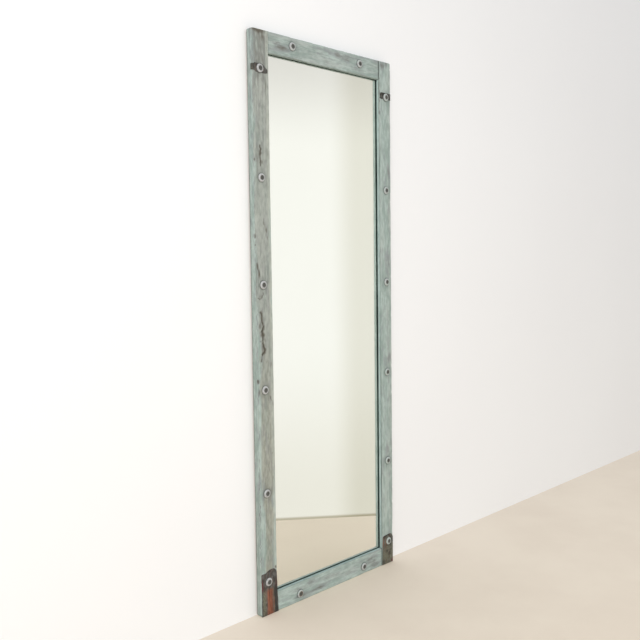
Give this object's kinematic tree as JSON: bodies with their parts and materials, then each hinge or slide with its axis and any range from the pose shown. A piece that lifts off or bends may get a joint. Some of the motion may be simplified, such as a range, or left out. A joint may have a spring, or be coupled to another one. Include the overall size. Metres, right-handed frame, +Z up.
{
  "type": "dressing mirror",
  "caption": "Tall full-length dressing mirror: flat glass in a worn sea-green board frame with iron straps, foot plates and screw cups, standing on the floor against a wall",
  "frame": {"origin": "on the floor, under the middle of the frame's width and thickness", "axes": "+Z up, the glass faces -Y, +X to the right of someone who looks into the mirror, +Y into the wall"},
  "size_m": [0.6412, 0.0335, 1.8],
  "materials": {
    "painted_wood": "old sea-green paint on softwood, worn to grey and olive along the faces",
    "mirror": "silvered float glass, flat, with seamed edges",
    "rubber": "matt black",
    "foam": "thin closed-cell foam",
    "plywood": "bare plywood",
    "old_iron": "dark rusted sheet iron with a red-brown bloom",
    "screw_cup": "dull bright metal, rubbed",
    "dark_screw": "blackened steel, slotted",
    "plated_steel": "zinc plated"
  },
  "bodies": {
    "root": {"left_stile": "painted_wood", "right_stile": "painted_wood", "top_rail": "painted_wood", "bottom_rail": "painted_wood", "mirror_glass": "mirror", "setting_blocks": "rubber", "packing_sheet": "foam", "backing_board": "plywood", "backing_board_screws": "plated_steel", "left_upper_strap": "old_iron", "left_foot_plate": "old_iron", "right_upper_strap": "old_iron", "right_foot_plate": "old_iron", "left_stile_screw_cups": "screw_cup", "left_stile_screws": "dark_screw", "right_stile_screw_cups": "screw_cup", "right_stile_screws": "dark_screw", "top_rail_screw_cups": "screw_cup", "top_rail_screws": "dark_screw", "bottom_rail_screw_cups": "screw_cup", "bottom_rail_screws": "dark_screw", "left_hanger_strap": "plated_steel", "left_hanger_screws": "plated_steel", "left_wall_bumper": "rubber", "right_hanger_strap": "plated_steel", "right_hanger_screws": "plated_steel", "right_wall_bumper": "rubber"},
    "left_ring": {"left_hanger_ring": "plated_steel"},
    "right_ring": {"right_hanger_ring": "plated_steel"}
  },
  "joints": [
    {"name": "left_ring_swing", "type": "hinge", "parent": "root", "child": "left_ring", "pos_m": [-0.298, 0.014, 1.53], "axis": [1, 0, 0], "range_deg": [0, 180]},
    {"name": "right_ring_swing", "type": "hinge", "parent": "root", "child": "right_ring", "pos_m": [0.298, 0.014, 1.53], "axis": [1, 0, 0], "range_deg": [0, 180]}
  ]
}
